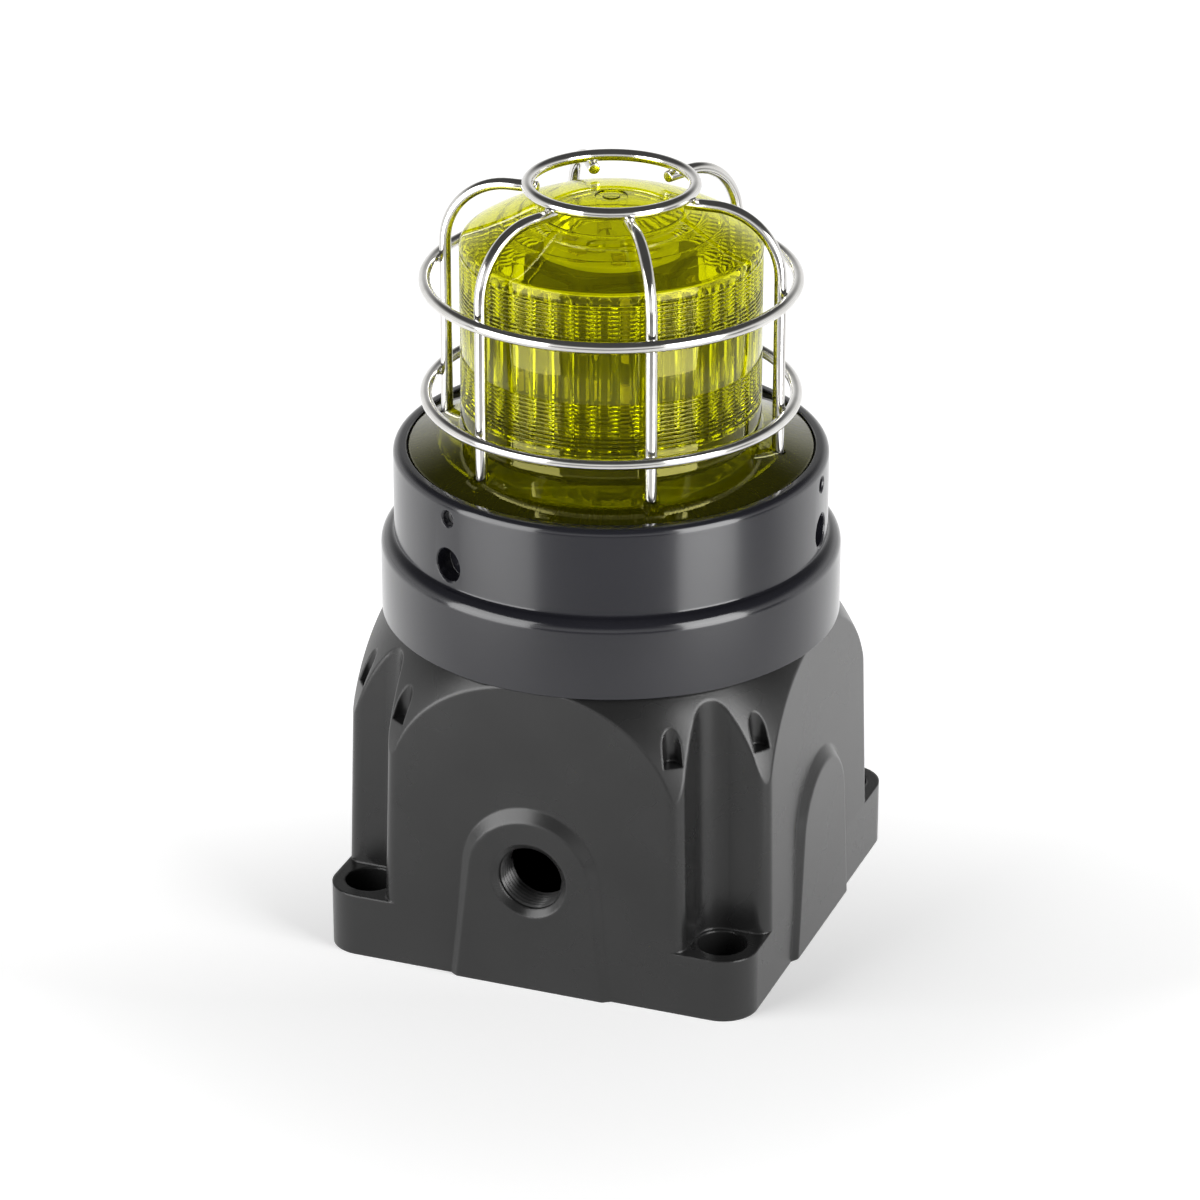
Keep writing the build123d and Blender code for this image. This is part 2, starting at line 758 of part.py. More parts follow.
def build_top_board():
    top = column_top + strip_thickness
    board = upright(top_board_radius, column_top, top)
    for place in top_screw_places():
        board -= place * upright(m3_radius + screw_clearance, column_top - 1, top + 1)
    return board


def build_top_leds():
    leds = []
    for index in range(top_led_count):
        place = (top_led_circle_radius, 0)
        led = block((led_side, led_side, led_height), place, column_top + strip_thickness)
        leds.append(at_azimuth(180 / top_led_count + 360 / top_led_count * index) * led)
    return gather(leds)


def build_column_screws():
    screw = pan_screw(m3_radius, m3_head_radius, m3_head_height, m3_length)
    top = column_top + strip_thickness
    return gather([place * Pos(0, 0, top) * screw for place in top_screw_places()])


# Power supply and terminals


def build_driver_board():
    board = block((*driver_board_size, driver_board_thickness), driver_board_place, board_floor)
    for x, y in driver_board_holes():
        board -= Pos(x, y) * upright(m3_radius + screw_clearance, board_floor - 1, board_top + 1)
    return board


def build_board_spacers():
    return gather([
        Pos(x, y) * tube(board_spacer_radius, m3_radius + screw_clearance, floor_thickness, board_floor)
        for x, y in driver_board_holes()])


def build_board_screws():
    length = board_spacer_height + driver_board_thickness + floor_thread_length
    screw = pan_screw(m3_radius, m3_head_radius, m3_head_height, length)
    return gather([Pos(x, y, board_top) * screw for x, y in driver_board_holes()])


def build_capacitor(place):
    """Can capacitor with a rounded shoulder and a crimp near its foot."""
    can = upright(capacitor_radius, board_top, board_top + capacitor_height)
    can = fillet(can.edges().sort_by(Axis.Z)[-1], capacitor_edge_radius)
    crimp = Pos(0, 0, board_top + crimp_height) * Torus(capacitor_radius + crimp_radius / 3, crimp_radius)
    return Pos(*place) * (can - crimp)


def terminal_holes():
    pitch = terminal_size[0] / terminal_count
    first = terminal_place[0] - terminal_size[0] / 2 + pitch / 2
    return [(first + pitch * index, terminal_place[1]) for index in range(terminal_count)]


def build_terminal_block():
    """Terminal strip with a screw well and a wire hole for each pole."""
    strip = block(terminal_size, terminal_place, board_top)
    top = board_top + terminal_size[2]
    for x, y in terminal_holes():
        strip -= Pos(x, y) * upright(terminal_hole_radius, board_top + terminal_size[2] / 2, top + 1)
        wire = Box(terminal_wire_side, 2 * terminal_wire_depth, terminal_wire_side)
        strip -= Pos(x, y - terminal_size[1] / 2, board_top + terminal_size[2] / 3) * wire
    return strip


def build_terminal_screws():
    top = board_top + terminal_size[2] - terminal_screw_sink
    screws = []
    for x, y in terminal_holes():
        bottom = board_top + terminal_size[2] / 2
        screw = upright(terminal_screw_radius, bottom, top)
        screw -= Pos(0, 0, top) * Box(3 * terminal_screw_radius, slot_width, 2 * slot_depth)
        screws.append(Pos(x, y) * screw)
    return gather(screws)


def build_earth_screw():
    bottom = floor_thickness + earth_boss_height + earth_washer_thickness
    screw = pan_screw(m4_radius, m4_head_radius, m4_head_height, earth_boss_height + floor_thread_length)
    return Pos(*earth_boss_place, bottom) * screw


def build_earth_washer():
    bottom = floor_thickness + earth_boss_height
    washer = tube(earth_washer_radius, m4_radius + screw_clearance, bottom, bottom + earth_washer_thickness)
    return Pos(*earth_boss_place) * washer


# Every node

save("housing", build_housing())
save("cover", build_cover())
save("cover_seal", build_seal())
save("lock_screws", build_lock_screws())
save("lens", build_lens())
save("lens_cement", build_lens_cement())

save("guard_top_ring", Pos(0, 0, top_ring_height) * Torus(top_ring_radius, wire_radius))
save("guard_upper_ring", Pos(0, 0, upper_ring_of_guard_height) * Torus(ring_of_guard_radius, wire_radius))
save("guard_lower_ring", Pos(0, 0, lower_ring_of_guard_height) * Torus(ring_of_guard_radius, wire_radius))
for number, azimuth in enumerate(leg_azimuths(), start=1):
    save("guard_leg_" + str(number), build_leg(azimuth))
save("guard_nuts", build_guard_nuts())
save("guard_washers", build_guard_washers())

save("mounting_plate", build_mounting_plate())
save("plate_screws", build_plate_screws())
for number, azimuth in enumerate(pillar_azimuths, start=1):
    save("light_pillar_" + str(number), build_pillar(azimuth))
save("pillar_nuts", build_pillar_nuts())
save("light_base", build_light_base())
save("base_screws", build_base_screws())
save("light_column", build_light_column())
for number, azimuth in enumerate(strip_azimuths(), start=1):
    save("led_strip_" + str(number), build_strip(azimuth))
save("strip_leds", build_strip_leds())
save("top_board", build_top_board())
save("top_leds", build_top_leds())
save("column_screws", build_column_screws())

save("driver_board", build_driver_board())
save("board_spacers", build_board_spacers())
save("board_screws", build_board_screws())
for number, place in enumerate(capacitor_places, start=1):
    save("capacitor_" + str(number), build_capacitor(place))
save("transformer", block(transformer_size, transformer_place, board_top))
save("terminal_block", build_terminal_block())
save("terminal_screws", build_terminal_screws())
save("earth_screw", build_earth_screw())
save("earth_washer", build_earth_washer())
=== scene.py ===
# %% [markdown]
# # A flameproof warning beacon
# The measured model of the beacon was made first, in a solid modeller. This script loads it as a
# fixed frame and gives it its looks: painted castings, a ribbed yellow lens, a polished wire
# guard, threads, and a small studio. Everything is in metres, with +Z up and the origin in the
# middle of the housing's underside, so each piece goes where the solid model says.

# %% Load the solid model as a fixed frame
from math import asin, cos, degrees, pi, radians, sin, sqrt

import bmesh
import bpy
from mathutils import Matrix, Vector


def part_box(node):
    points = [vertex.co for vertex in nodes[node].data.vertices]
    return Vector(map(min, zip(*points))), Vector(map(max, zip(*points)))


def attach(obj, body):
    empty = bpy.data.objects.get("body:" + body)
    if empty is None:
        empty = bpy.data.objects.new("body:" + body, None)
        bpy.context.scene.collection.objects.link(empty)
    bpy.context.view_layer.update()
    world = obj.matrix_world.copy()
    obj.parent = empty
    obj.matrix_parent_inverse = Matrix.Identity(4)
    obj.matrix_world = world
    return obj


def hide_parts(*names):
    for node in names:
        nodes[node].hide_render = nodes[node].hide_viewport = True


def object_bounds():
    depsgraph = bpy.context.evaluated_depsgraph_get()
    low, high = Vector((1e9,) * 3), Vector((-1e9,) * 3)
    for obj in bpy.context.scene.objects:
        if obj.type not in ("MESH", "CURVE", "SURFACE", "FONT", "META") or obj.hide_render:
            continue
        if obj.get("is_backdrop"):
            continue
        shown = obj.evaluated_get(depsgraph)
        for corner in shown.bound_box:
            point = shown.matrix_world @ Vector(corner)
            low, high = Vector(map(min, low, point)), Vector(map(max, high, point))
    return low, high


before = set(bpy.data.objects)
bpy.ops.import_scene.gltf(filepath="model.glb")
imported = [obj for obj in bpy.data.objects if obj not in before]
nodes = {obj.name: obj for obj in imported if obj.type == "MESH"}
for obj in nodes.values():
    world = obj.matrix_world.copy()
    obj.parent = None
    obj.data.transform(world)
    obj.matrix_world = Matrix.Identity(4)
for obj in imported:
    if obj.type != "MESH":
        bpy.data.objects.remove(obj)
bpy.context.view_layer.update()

MM = 0.001

# %% [markdown]
# ## Drawing and turning outlines
# Most of the beacon is turned: the cover, the lens, the rings. On a lathe the tool follows an
# outline while the work spins, and here the same is done with a mesh. A small "pen" draws half of
# the section in the XZ plane, point by point. An arc is drawn by the spin operator, which carries
# the last point round a centre. A second spin about Z then sweeps the whole outline into a solid.
# This keeps the true radii, where a stack of cylinders would have to be joined and cleaned.

# %% A pen that draws a section, and the spin that turns it
class Outline:
    """Half section drawn as radius and height in millimetres, in the XZ plane."""

    def __init__(self, r, z):
        self.mesh = bmesh.new()
        self.first = self.mesh.verts.new((r * MM, 0, z * MM))
        self.last = self.first

    def to(self, *points):
        """Draw straight lines to some points, each a radius and a height."""
        for r, z in points:
            new = self.mesh.verts.new((r * MM, 0, z * MM))
            self.mesh.edges.new((self.last, new))
            self.last = new
        return self

    def arc(self, centre_r, centre_z, angle, steps):
        """Carry the pen round a centre; a positive angle turns from +X towards +Z."""
        made = bmesh.ops.spin(
            self.mesh, geom=[self.last], cent=(centre_r * MM, 0, centre_z * MM), axis=(0, -1, 0),
            angle=radians(angle), steps=steps)
        self.last = [v for v in made["geom_last"] if isinstance(v, bmesh.types.BMVert)][0]
        return self

    def close(self):
        """Join the pen's place to the first point."""
        self.mesh.edges.new((self.last, self.first))
        return self

    def turned(self, steps):
        """Spin the whole section once round Z and hand the mesh over."""
        bmesh.ops.spin(
            self.mesh, geom=self.mesh.verts[:] + self.mesh.edges[:], cent=(0, 0, 0), axis=(0, 0, 1),
            angle=2 * pi, steps=steps, use_merge=True)
        tidy(self.mesh)
        return self.mesh


def tidy(mesh):
    """Merge what a spin left double, at the poles too, and point every face outwards."""
    bmesh.ops.remove_doubles(mesh, verts=mesh.verts[:], dist=0.002 * MM)
    bmesh.ops.dissolve_degenerate(mesh, edges=mesh.edges[:], dist=0.001 * MM)
    bmesh.ops.recalc_face_normals(mesh, faces=mesh.faces[:])


# %% [markdown]
# ## Placing a finished mesh
# Each finished mesh becomes one object at the origin, because its place is already in its points.
# It is shaded smooth, except where two faces meet at more than a chosen angle, so that a turned
# edge stays crisp. Then it rides on the rigid body that carries it on the real beacon: the cover
# with its lens and guard unscrews from the housing, and everything on it has to go along.

# %% Turn a mesh into a piece that rides on a body
def azimuth_turn(azimuth):
    """Rotation from +X to an azimuth in degrees, counted from -Y towards +X."""
    return Matrix.Rotation(radians(azimuth - 90), 4, "Z")


def place_piece(name, mesh, material, body, *replaced, crease=35):
    """One object that rides on a body and stands for the nodes it replaces."""
    data = bpy.data.meshes.new(name)
    mesh.to_mesh(data)
    mesh.free()
    data.shade_smooth()
    data.set_sharp_from_angle(angle=radians(crease))
    data.materials.append(material)
    piece = bpy.data.objects.new(name, data)
    bpy.context.scene.collection.objects.link(piece)
    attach(piece, body)
    if replaced:
        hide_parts(*replaced)
    print(name, "has", sum(len(p.vertices) - 2 for p in data.polygons), "triangles")
    return piece


def cut(piece, cutters):
    """Subtract some cutter meshes from a piece and keep only the result."""
    tools = []
    for cutter in cutters:
        data = bpy.data.meshes.new("cutter")
        cutter.to_mesh(data)
        cutter.free()
        tool = bpy.data.objects.new("cutter", data)
        bpy.context.scene.collection.objects.link(tool)
        tools.append(tool)
        modifier = piece.modifiers.new("hole", "BOOLEAN")
        modifier.object = tool
        modifier.solver = "EXACT"
    bpy.context.view_layer.update()
    depsgraph = bpy.context.evaluated_depsgraph_get()
    cut_mesh = bpy.data.meshes.new_from_object(piece.evaluated_get(depsgraph))
    piece.modifiers.clear()
    piece.data = cut_mesh
    for tool in tools:
        bpy.data.objects.remove(tool)
    print(piece.name, "cut", len(tools), "times:", len(cut_mesh.polygons), "faces")


# %% [markdown]
# ## Finishes
# A finish is a Principled shader with a little life in it. Paint on a casting is never one flat
# colour: its film varies in thickness, so its tone and gloss wander slowly, and its surface has a
# fine orange peel. Both come from noise in Object coordinates, which stay put on the piece. The two
# tones of a finish lie close together, because strong noise would look like dirt. The cement under
# the lens has wide, pale, mottled tones. They are partly its own colour and partly painted light:
# the pale patches stand for light seen in the flange above it. A number sets the size of the tone's
# patches, the next two the size and depth of the grain, all in millimetres, and the last one is the
# roughness.
# Paint also rounds every corner it covers. A Bevel node bends the normals near an edge by that
# radius, so the rims of the pockets and notches catch a thin line of light, as in the photograph.

# %% A finish with a wandering tone and a fine relief
gloss_wander = 0.15


def finish(name, tones, tone_size, relief_size, relief_depth, roughness, edge=0, **sockets):
    """Procedural finish. Tones are two linear colours, and every size is in millimetres."""
    made = bpy.data.materials.new(name)
    made.use_nodes = True
    tree = made.node_tree
    shader = tree.nodes["Principled BSDF"]
    for socket, value in sockets.items():
        shader.inputs[socket.replace("_", " ")].default_value = value
    coords = tree.nodes.new("ShaderNodeTexCoord")

    drift = tree.nodes.new("ShaderNodeTexNoise")
    drift.inputs["Scale"].default_value = 1 / (tone_size * MM)
    drift.inputs["Detail"].default_value = 4
    tree.links.new(coords.outputs["Object"], drift.inputs["Vector"])
    ramp = tree.nodes.new("ShaderNodeValToRGB")
    ramp.color_ramp.elements[0].position = 0.3
    ramp.color_ramp.elements[1].position = 0.7
    ramp.color_ramp.elements[0].color = (*tones[0], 1)
    ramp.color_ramp.elements[1].color = (*tones[1], 1)
    tree.links.new(drift.outputs["Fac"], ramp.inputs["Fac"])
    tree.links.new(ramp.outputs["Color"], shader.inputs["Base Color"])

    gloss = tree.nodes.new("ShaderNodeMapRange")
    gloss.inputs["To Min"].default_value = roughness * (1 - gloss_wander)
    gloss.inputs["To Max"].default_value = roughness * (1 + gloss_wander)
    tree.links.new(drift.outputs["Fac"], gloss.inputs["Value"])
    tree.links.new(gloss.outputs["Result"], shader.inputs["Roughness"])

    grain = tree.nodes.new("ShaderNodeTexNoise")
    grain.inputs["Scale"].default_value = 1 / (relief_size * MM)
    grain.inputs["Detail"].default_value = 3
    bump = tree.nodes.new("ShaderNodeBump")
    bump.inputs["Strength"].default_value = 1.0
    bump.inputs["Distance"].default_value = relief_depth * MM
    tree.links.new(coords.outputs["Object"], grain.inputs["Vector"])
    tree.links.new(grain.outputs["Fac"], bump.inputs["Height"])
    tree.links.new(bump.outputs["Normal"], shader.inputs["Normal"])
    if edge:
        rounding = tree.nodes.new("ShaderNodeBevel")
        rounding.samples = 6
        rounding.inputs["Radius"].default_value = edge * MM
        tree.links.new(rounding.outputs["Normal"], bump.inputs["Normal"])
    return made


# %% The beacon's finishes
housing_enamel = finish(
    "housing_enamel", ((0.009, 0.009, 0.009), (0.014, 0.014, 0.014)), 30, 0.9, 0.012, 0.27, edge=0.9)
cover_enamel = finish(
    "cover_enamel", ((0.008, 0.008, 0.011), (0.013, 0.013, 0.017)), 40, 6.0, 0.004, 0.17, edge=0.4,
    Coat_Weight=0.3, Coat_Roughness=0.06)
guard_wire_steel = finish(
    "guard_wire_steel", ((0.66, 0.65, 0.62), (0.78, 0.77, 0.75)), 8, 0.5, 0.003, 0.13, Metallic=1.0)
plain_steel = finish(
    "plain_steel", ((0.42, 0.42, 0.43), (0.55, 0.55, 0.55)), 3, 0.4, 0.006, 0.32, Metallic=1.0)
zinc_plate = finish(
    "zinc_plate", ((0.50, 0.50, 0.46), (0.60, 0.60, 0.57)), 3, 0.4, 0.006, 0.30, Metallic=1.0)
bright_brass = finish(
    "bright_brass", ((0.62, 0.42, 0.14), (0.75, 0.54, 0.22)), 3, 0.4, 0.006, 0.28, Metallic=1.0)
milled_aluminium = finish(
    "milled_aluminium", ((0.50, 0.50, 0.51), (0.62, 0.62, 0.63)), 6, 0.5, 0.01, 0.34, Metallic=1.0)
seal_rubber = finish(
    "seal_rubber", ((0.012, 0.012, 0.012), (0.020, 0.020, 0.020)), 5, 0.3, 0.01, 0.62)
black_moulding = finish(
    "black_moulding", ((0.010, 0.010, 0.010), (0.018, 0.018, 0.018)), 10, 0.5, 0.01, 0.45)
# The cement's pale, widely mottled tones are partly painted light that brightens the lens flange above
# it.
cement_and_painted_light = finish(
    "cement_and_painted_light", ((0.22, 0.22, 0.18), (0.85, 0.85, 0.76)), 4.0, 0.6, 0.02, 0.6)
anodised_black = finish(
    "anodised_black", ((0.012, 0.012, 0.013), (0.022, 0.022, 0.023)), 6, 0.5, 0.006, 0.38)
dark_board = finish(
    "dark_board", ((0.020, 0.022, 0.020), (0.035, 0.037, 0.034)), 8, 0.5, 0.004, 0.42)
white_board = finish(
    "white_board", ((0.72, 0.72, 0.68), (0.80, 0.80, 0.77)), 12, 0.5, 0.004, 0.35)
green_board = finish(
    "green_board", ((0.015, 0.10, 0.04), (0.03, 0.16, 0.07)), 5, 0.5, 0.004, 0.30)
led_resin = finish(
    "led_resin", ((0.34, 0.30, 0.08), (0.46, 0.42, 0.14)), 1.0, 0.3, 0.003, 0.15, Coat_Weight=0.6)
capacitor_sleeve = finish(
    "capacitor_sleeve", ((0.010, 0.010, 0.022), (0.016, 0.016, 0.035)), 6, 0.6, 0.004, 0.25)
winding_tape = finish(
    "winding_tape", ((0.55, 0.38, 0.05), (0.68, 0.50, 0.09)), 5, 0.6, 0.01, 0.30)
terminal_moulding = finish(
    "terminal_moulding", ((0.02, 0.14, 0.06), (0.03, 0.19, 0.09)), 6, 0.5, 0.006, 0.40)
print("finishes:", len(bpy.data.materials))

# %% [markdown]
# ## The lens plastic
# The lens is clear polycarbonate dyed yellow. It is one closed solid with real walls, so the
# renderer can bend light at its outer ribs and again at the reeds inside, which gives the dark
# and bright bars of the photograph. The colour is set on the shader itself, with the index of
# refraction of polycarbonate, and the surface is nearly mirror smooth. A little of the light is
# not let through but scattered by the dye, so the plastic keeps its yellow before a dark inside.

# %% Dyed clear plastic
lens_polycarbonate = bpy.data.materials.new("lens_polycarbonate")
lens_polycarbonate.use_nodes = True
lens_shader = lens_polycarbonate.node_tree.nodes["Principled BSDF"]
lens_shader.inputs["Base Color"].default_value = (0.82, 0.82, 0.0, 1)
lens_shader.inputs["Transmission Weight"].default_value = 0.98
lens_shader.inputs["Roughness"].default_value = 0.02
lens_shader.inputs["IOR"].default_value = 1.58
lens_shader.inputs["Specular Tint"].default_value = (1.0, 0.94, 0.25, 1)

# %% [markdown]
# ## Finishes for the solid model's own nodes
# A node whose shape is already right keeps its mesh and only changes its material.

# %% Assign a finish to each node that stays
node_finishes = {
    housing_enamel: ["housing"],
    seal_rubber: ["cover_seal"],
    plain_steel: ["lock_screws", "guard_nuts", "guard_washers", "plate_screws", "pillar_nuts",
                  "base_screws", "column_screws", "board_screws", "terminal_screws"],
    cement_and_painted_light: ["lens_cement"],
    milled_aluminium: ["mounting_plate"],
    anodised_black: ["light_column"],
    zinc_plate: ["light_pillar_1", "light_pillar_2", "light_pillar_3", "board_spacers"],
    bright_brass: ["earth_screw", "earth_washer"],
    black_moulding: ["light_base"],
    dark_board: ["led_strip_%d" % n for n in range(1, 7)],
    white_board: ["top_board"],
    led_resin: ["strip_leds", "top_leds"],
    green_board: ["driver_board"],
    capacitor_sleeve: ["capacitor_1", "capacitor_2"],
    winding_tape: ["transformer"],
    terminal_moulding: ["terminal_block"],
}
for node_finish, names in node_finishes.items():
    for name in names:
        data = nodes[name].data
        data.materials.clear()
        data.materials.append(node_finish)
print("nodes with a finish:", sum(len(names) for names in node_finishes.values()))

# %% [markdown]
# ## Lens
# The lens stands on a sloping flange that is cemented into the cover. Its wall carries two bands
# of fine horizontal ribs outside, and 45 upright reeds inside, which spread the light sideways.
# Each rib has a round crest and steep flanks. Seen from above, its upper flank looks down into the
# dark lamp and its lower flank looks out over it, so every rib shows one thin bright line.
# The outside and the inside are drawn as one closed section and turned in 360 steps, eight to
# a reed, and then the points of the inner wall are moved in by the round shape of the reed.

# %% Sizes of the lens, in millimetres
lens_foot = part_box("lens")[0].z / MM
flange_radius = 55.9
flange_edge = 0.9
flange_round = 1.2
flange_slope = 0.435
lens_radius = 41.2
slope_foot = lens_foot + 1.9 + (flange_radius - lens_radius - 0.8) * flange_slope
rib_pitch = 1.17
rib_depth = 0.45
rib_profile = ((0.25, 0.1), (0.5, rib_depth), (0.75, 0.1), (1, 0))
ribs_in_band = 12
rib_bands = (152.49, 180.73)
wall_top = 196.17
dome_radius = 73.0
dome_edge = 3.0
gate_radius = 4.5
bore_radius = 38.1
dome_inner = dome_radius - 3.1
dome_steps = (19.0, 23.5, 28.5, 33.5)
dome_step_height = 0.2
reed_foot = slope_foot + 6.0
reed_top = wall_top - 0.3
row_gap = 0.04
print("lens:", round(wall_top - lens_foot, 1), "mm of wall under a dome of", dome_radius, "mm radius")

# %% Draw the outside: flange, two bands of ribs, dome and gate mark
lens = Outline(flange_radius, lens_foot)
lens.to((flange_radius, lens_foot + flange_edge))
lens.arc(flange_radius - flange_round, lens_foot + flange_edge, 66, 4)
lens.to((lens_radius + 0.8, slope_foot), (lens_radius + 0.2, slope_foot + 0.6))
lens.to((lens_radius, slope_foot + 1.4))
for band in rib_bands:
    lens.to((lens_radius, band))
    for rib in range(ribs_in_band):
        for share, depth in rib_profile:
            lens.to((lens_radius - depth, band + (rib + share) * rib_pitch))

dome_centre = wall_top - sqrt((dome_radius - dome_edge) ** 2 - (lens_radius - dome_edge) ** 2)
lean = degrees(asin((lens_radius - dome_edge) / (dome_radius - dome_edge)))
gate_lean = degrees(asin(gate_radius / dome_radius))
gate_top = dome_centre + sqrt(dome_radius ** 2 - gate_radius ** 2)
lens.to((lens_radius, wall_top)).arc(lens_radius - dome_edge, wall_top, 90 - lean, 5)
lens.arc(0, dome_centre, lean - gate_lean, 28)
lens.to((4.2, gate_top - 0.4), (2.4, gate_top - 0.4), (2.1, gate_top - 0.05), (0, gate_top))

# %% Draw the inside: stepped dome, bore and foot, and turn the whole section
def dome_under(r):
    """Height of the dome's inner surface at a radius."""
    return dome_centre + sqrt(dome_inner ** 2 - r ** 2)


lens.to((0, dome_under(0)))
inner = 0.0
for ring in dome_steps:
    for share in (0.25, 0.5, 0.75, 1.0):
        r = inner + (ring - inner) * share
        lens.to((r, dome_under(r)))
    lens.to((ring + 0.05, dome_under(ring) - dome_step_height))
    inner = ring
lens.to((36.0, dome_under(36.0)), (bore_radius, dome_under(bore_radius)))
row_above = reed_top + row_gap
for z in (row_above, reed_top, *range(190, 153, -6), reed_foot, reed_foot - row_gap):
    lens.to((bore_radius, z))
lens.to((bore_radius, lens_foot + 3.9), (45.5, lens_foot))
lens_mesh = lens.close().turned(360)

# %% [markdown]
# Each reed is a round bar's flank, and it ends above in a half-round arch. The points of the two
# rows at the reeds' tops slide down along the arch, and the reeds' own rows move in to the bar.

# %% Press the reeds into the bore
reed_count = 45
reed_height = 0.9
half_pitch = 360 / reed_count / 2
half_width = bore_radius * radians(half_pitch)
nearly = 0.01
for vert in lens_mesh.verts:
    radius, z = vert.co.xy.length / MM, vert.co.z / MM
    if abs(radius - bore_radius) < nearly and reed_foot - nearly < z < row_above + nearly:
        turn = degrees(vert.co.xy.angle_signed(Vector((1, 0))))
        off = (turn + half_pitch) % (2 * half_pitch) - half_pitch
        across = min(abs(off) / half_pitch, 1)
        if z > reed_top - nearly:
            vert.co.z -= half_width * (1 - sqrt(1 - across ** 2)) * MM
        if z < reed_top + nearly:
            vert.co.xy *= 1 - reed_height * (1 - across ** 2) / bore_radius
lens_crease = 42
lens_piece = place_piece(
    "ribbed_lens", lens_mesh, lens_polycarbonate, "cover", "lens", crease=lens_crease)

# %% [markdown]
# Six wires of the guard pass through the flange. Each hole is a plain round cutter, subtracted
# with a Boolean modifier, which is quicker and safer here than weaving a hole into the turned mesh.

# %% Drill the flange for the guard's legs
guard_clocking = 3.5
leg_azimuths = [guard_clocking + 30 + 60 * k for k in range(6)]
leg_circle = 47.4
leg_clearance = 2.15


def drill(radius, depth, matrix, segments=32):
    """Round cutter whose axis is Z before the matrix places it; sizes in millimetres."""
    tool = bmesh.new()
    bmesh.ops.create_cone(
        tool, cap_ends=True, segments=segments, radius1=radius * MM, radius2=radius * MM,
        depth=depth * MM, matrix=matrix)
    return tool


def leg_holes(radius, depth, height):
    """Upright drills where the six legs stand, centred on a height."""
    place = Matrix.Translation((leg_circle * MM, 0, height * MM))
    return [drill(radius, depth, azimuth_turn(azimuth) @ place) for azimuth in leg_azimuths]


cut(lens_piece, leg_holes(leg_clearance, 12, lens_foot + 3))
lens_piece.data.set_sharp_from_angle(angle=radians(lens_crease))

# %% [markdown]
# ## Cover
# The cover is turned from one bar and painted with a deep gloss enamel. The long highlights on
# the step and on the rim need true small radii there, so both are drawn as arcs.

# %% Sizes of the cover, in millimetres
bore = 46.0
spigot_foot = 73.8
thread_root = 50.6
spigot = 51.7
groove = 48.8
groove_low = 86.1
groove_high = 89.3
seat = 90.3
skirt = 63.6
skirt_top = 109.6
ring_radius = 59.9
rim_round = 2.2
rim_top = 138.6
recess = 56.1
cement_ledge = 136.2
web_bore = 43.5
chamber = 52.0
cover_crease = 30
print("cover:", round(rim_top - spigot_foot, 1), "mm high,", 2 * skirt, "mm across its skirt")

# %% Draw and turn the cover
# The spigot with the root of its thread, and the groove of the seal
cover = Outline(bore, spigot_foot)
cover.to((50.0, spigot_foot), (thread_root, spigot_foot + 0.6), (thread_root, groove_low - 0.5))
cover.to((spigot, groove_low - 0.2), (spigot, groove_low), (groove, groove_low))
cover.to((groove, groove_high), (spigot, groove_high), (spigot, seat))
# The skirt, the step, and the upper ring with its rounded rim
cover.to((skirt - 0.4, seat), (skirt, seat + 0.4), (skirt, skirt_top))
cover.arc(ring_radius, skirt_top, 80, 10)
cover.to((60.35, 113.32), (59.98, 113.6), (ring_radius, 114.1), (ring_radius, rim_top - rim_round))
cover.arc(ring_radius - rim_round, rim_top - rim_round, 90, 8)
# The recess that holds the lens, the web under it, and the bore
cover.to((recess + 0.3, rim_top), (recess, rim_top - 0.3), (recess, cement_ledge))
cover.to((web_bore, cement_ledge), (web_bore, 127.6), (chamber, 127.6), (chamber, 120.1))
cover.to((bore, 120.1))
cover_mesh = cover.close().turned(256)
cover_piece = place_piece(
    "enamelled_cover", cover_mesh, cover_enamel, "cover", "cover", crease=cover_crease)

# %% Drill the cross holes, with their countersinks, and the holes for the legs
# A cross hole is a height, a radius and a depth. Its countersink flares at 45 degrees.
spanner_hole = (119.7, 4.6, 5.0)
screw_hole = (133.3, 2.1, 9.0)
flare_in = 0.2
flare_out = 1.6
leg_fit = 1.75
cross_azimuths = [guard_clocking - 30 + 120 * k for k in range(3)]
cutters = []
for azimuth in cross_azimuths:
    for height, radius, depth in (spanner_hole, screw_hole):
        surface = Matrix.Translation((ring_radius * MM, 0, height * MM))
        side = azimuth_turn(azimuth) @ surface @ Matrix.Rotation(pi / 2, 4, "Y")
        cutters.append(drill(radius, 2 * depth, side, 40))
        countersink = bmesh.new()
        bmesh.ops.create_cone(
            countersink, cap_ends=True, segments=40, radius1=(radius - flare_in) * MM,
            radius2=(radius + flare_out) * MM, depth=(flare_in + flare_out) * MM,
            matrix=side @ Matrix.Translation((0, 0, flare_in * MM)))
        cutters.append(countersink)
cutters.extend(leg_holes(leg_fit, 20, 132))
cut(cover_piece, cutters)
cover_piece.data.set_sharp_from_angle(angle=radians(cover_crease))

# %% [markdown]
# ## Wire guard
# The guard is bent from polished stainless wire. A ring is a small circle spun once round Z. A leg
# starts as a circle at its foot, is extruded straight up, is carried round the bend by a quarter
# spin, and is extruded in to the top ring. Where wires cross, a short bead of weld fills the nip.

# %% Turn the guard's three rings
wire = 1.65
wire_segments = 24
top_ring_radius = 22.6
side_ring_radius = 50.6
ring_sizes = {
    "guard_top_ring": top_ring_radius,
    "guard_upper_ring": side_ring_radius,
    "guard_lower_ring": side_ring_radius}
ring_heights = {}
for node, radius in ring_sizes.items():
    low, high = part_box(node)
    ring_heights[node] = (low.z + high.z) / 2 / MM
    ring = bmesh.new()
    place = Matrix.Translation((radius * MM, 0, ring_heights[node] * MM))
    bmesh.ops.create_circle(
        ring, segments=wire_segments, radius=wire * MM, matrix=place @ Matrix.Rotation(pi / 2, 4, "X"))
    bmesh.ops.spin(
        ring, geom=ring.verts[:] + ring.edges[:], cent=(0, 0, 0), axis=(0, 0, 1),
        angle=2 * pi, steps=160, use_merge=True)
    tidy(ring)
    piece = place_piece(node.replace("guard", "wire"), ring, guard_wire_steel, "cover", node)

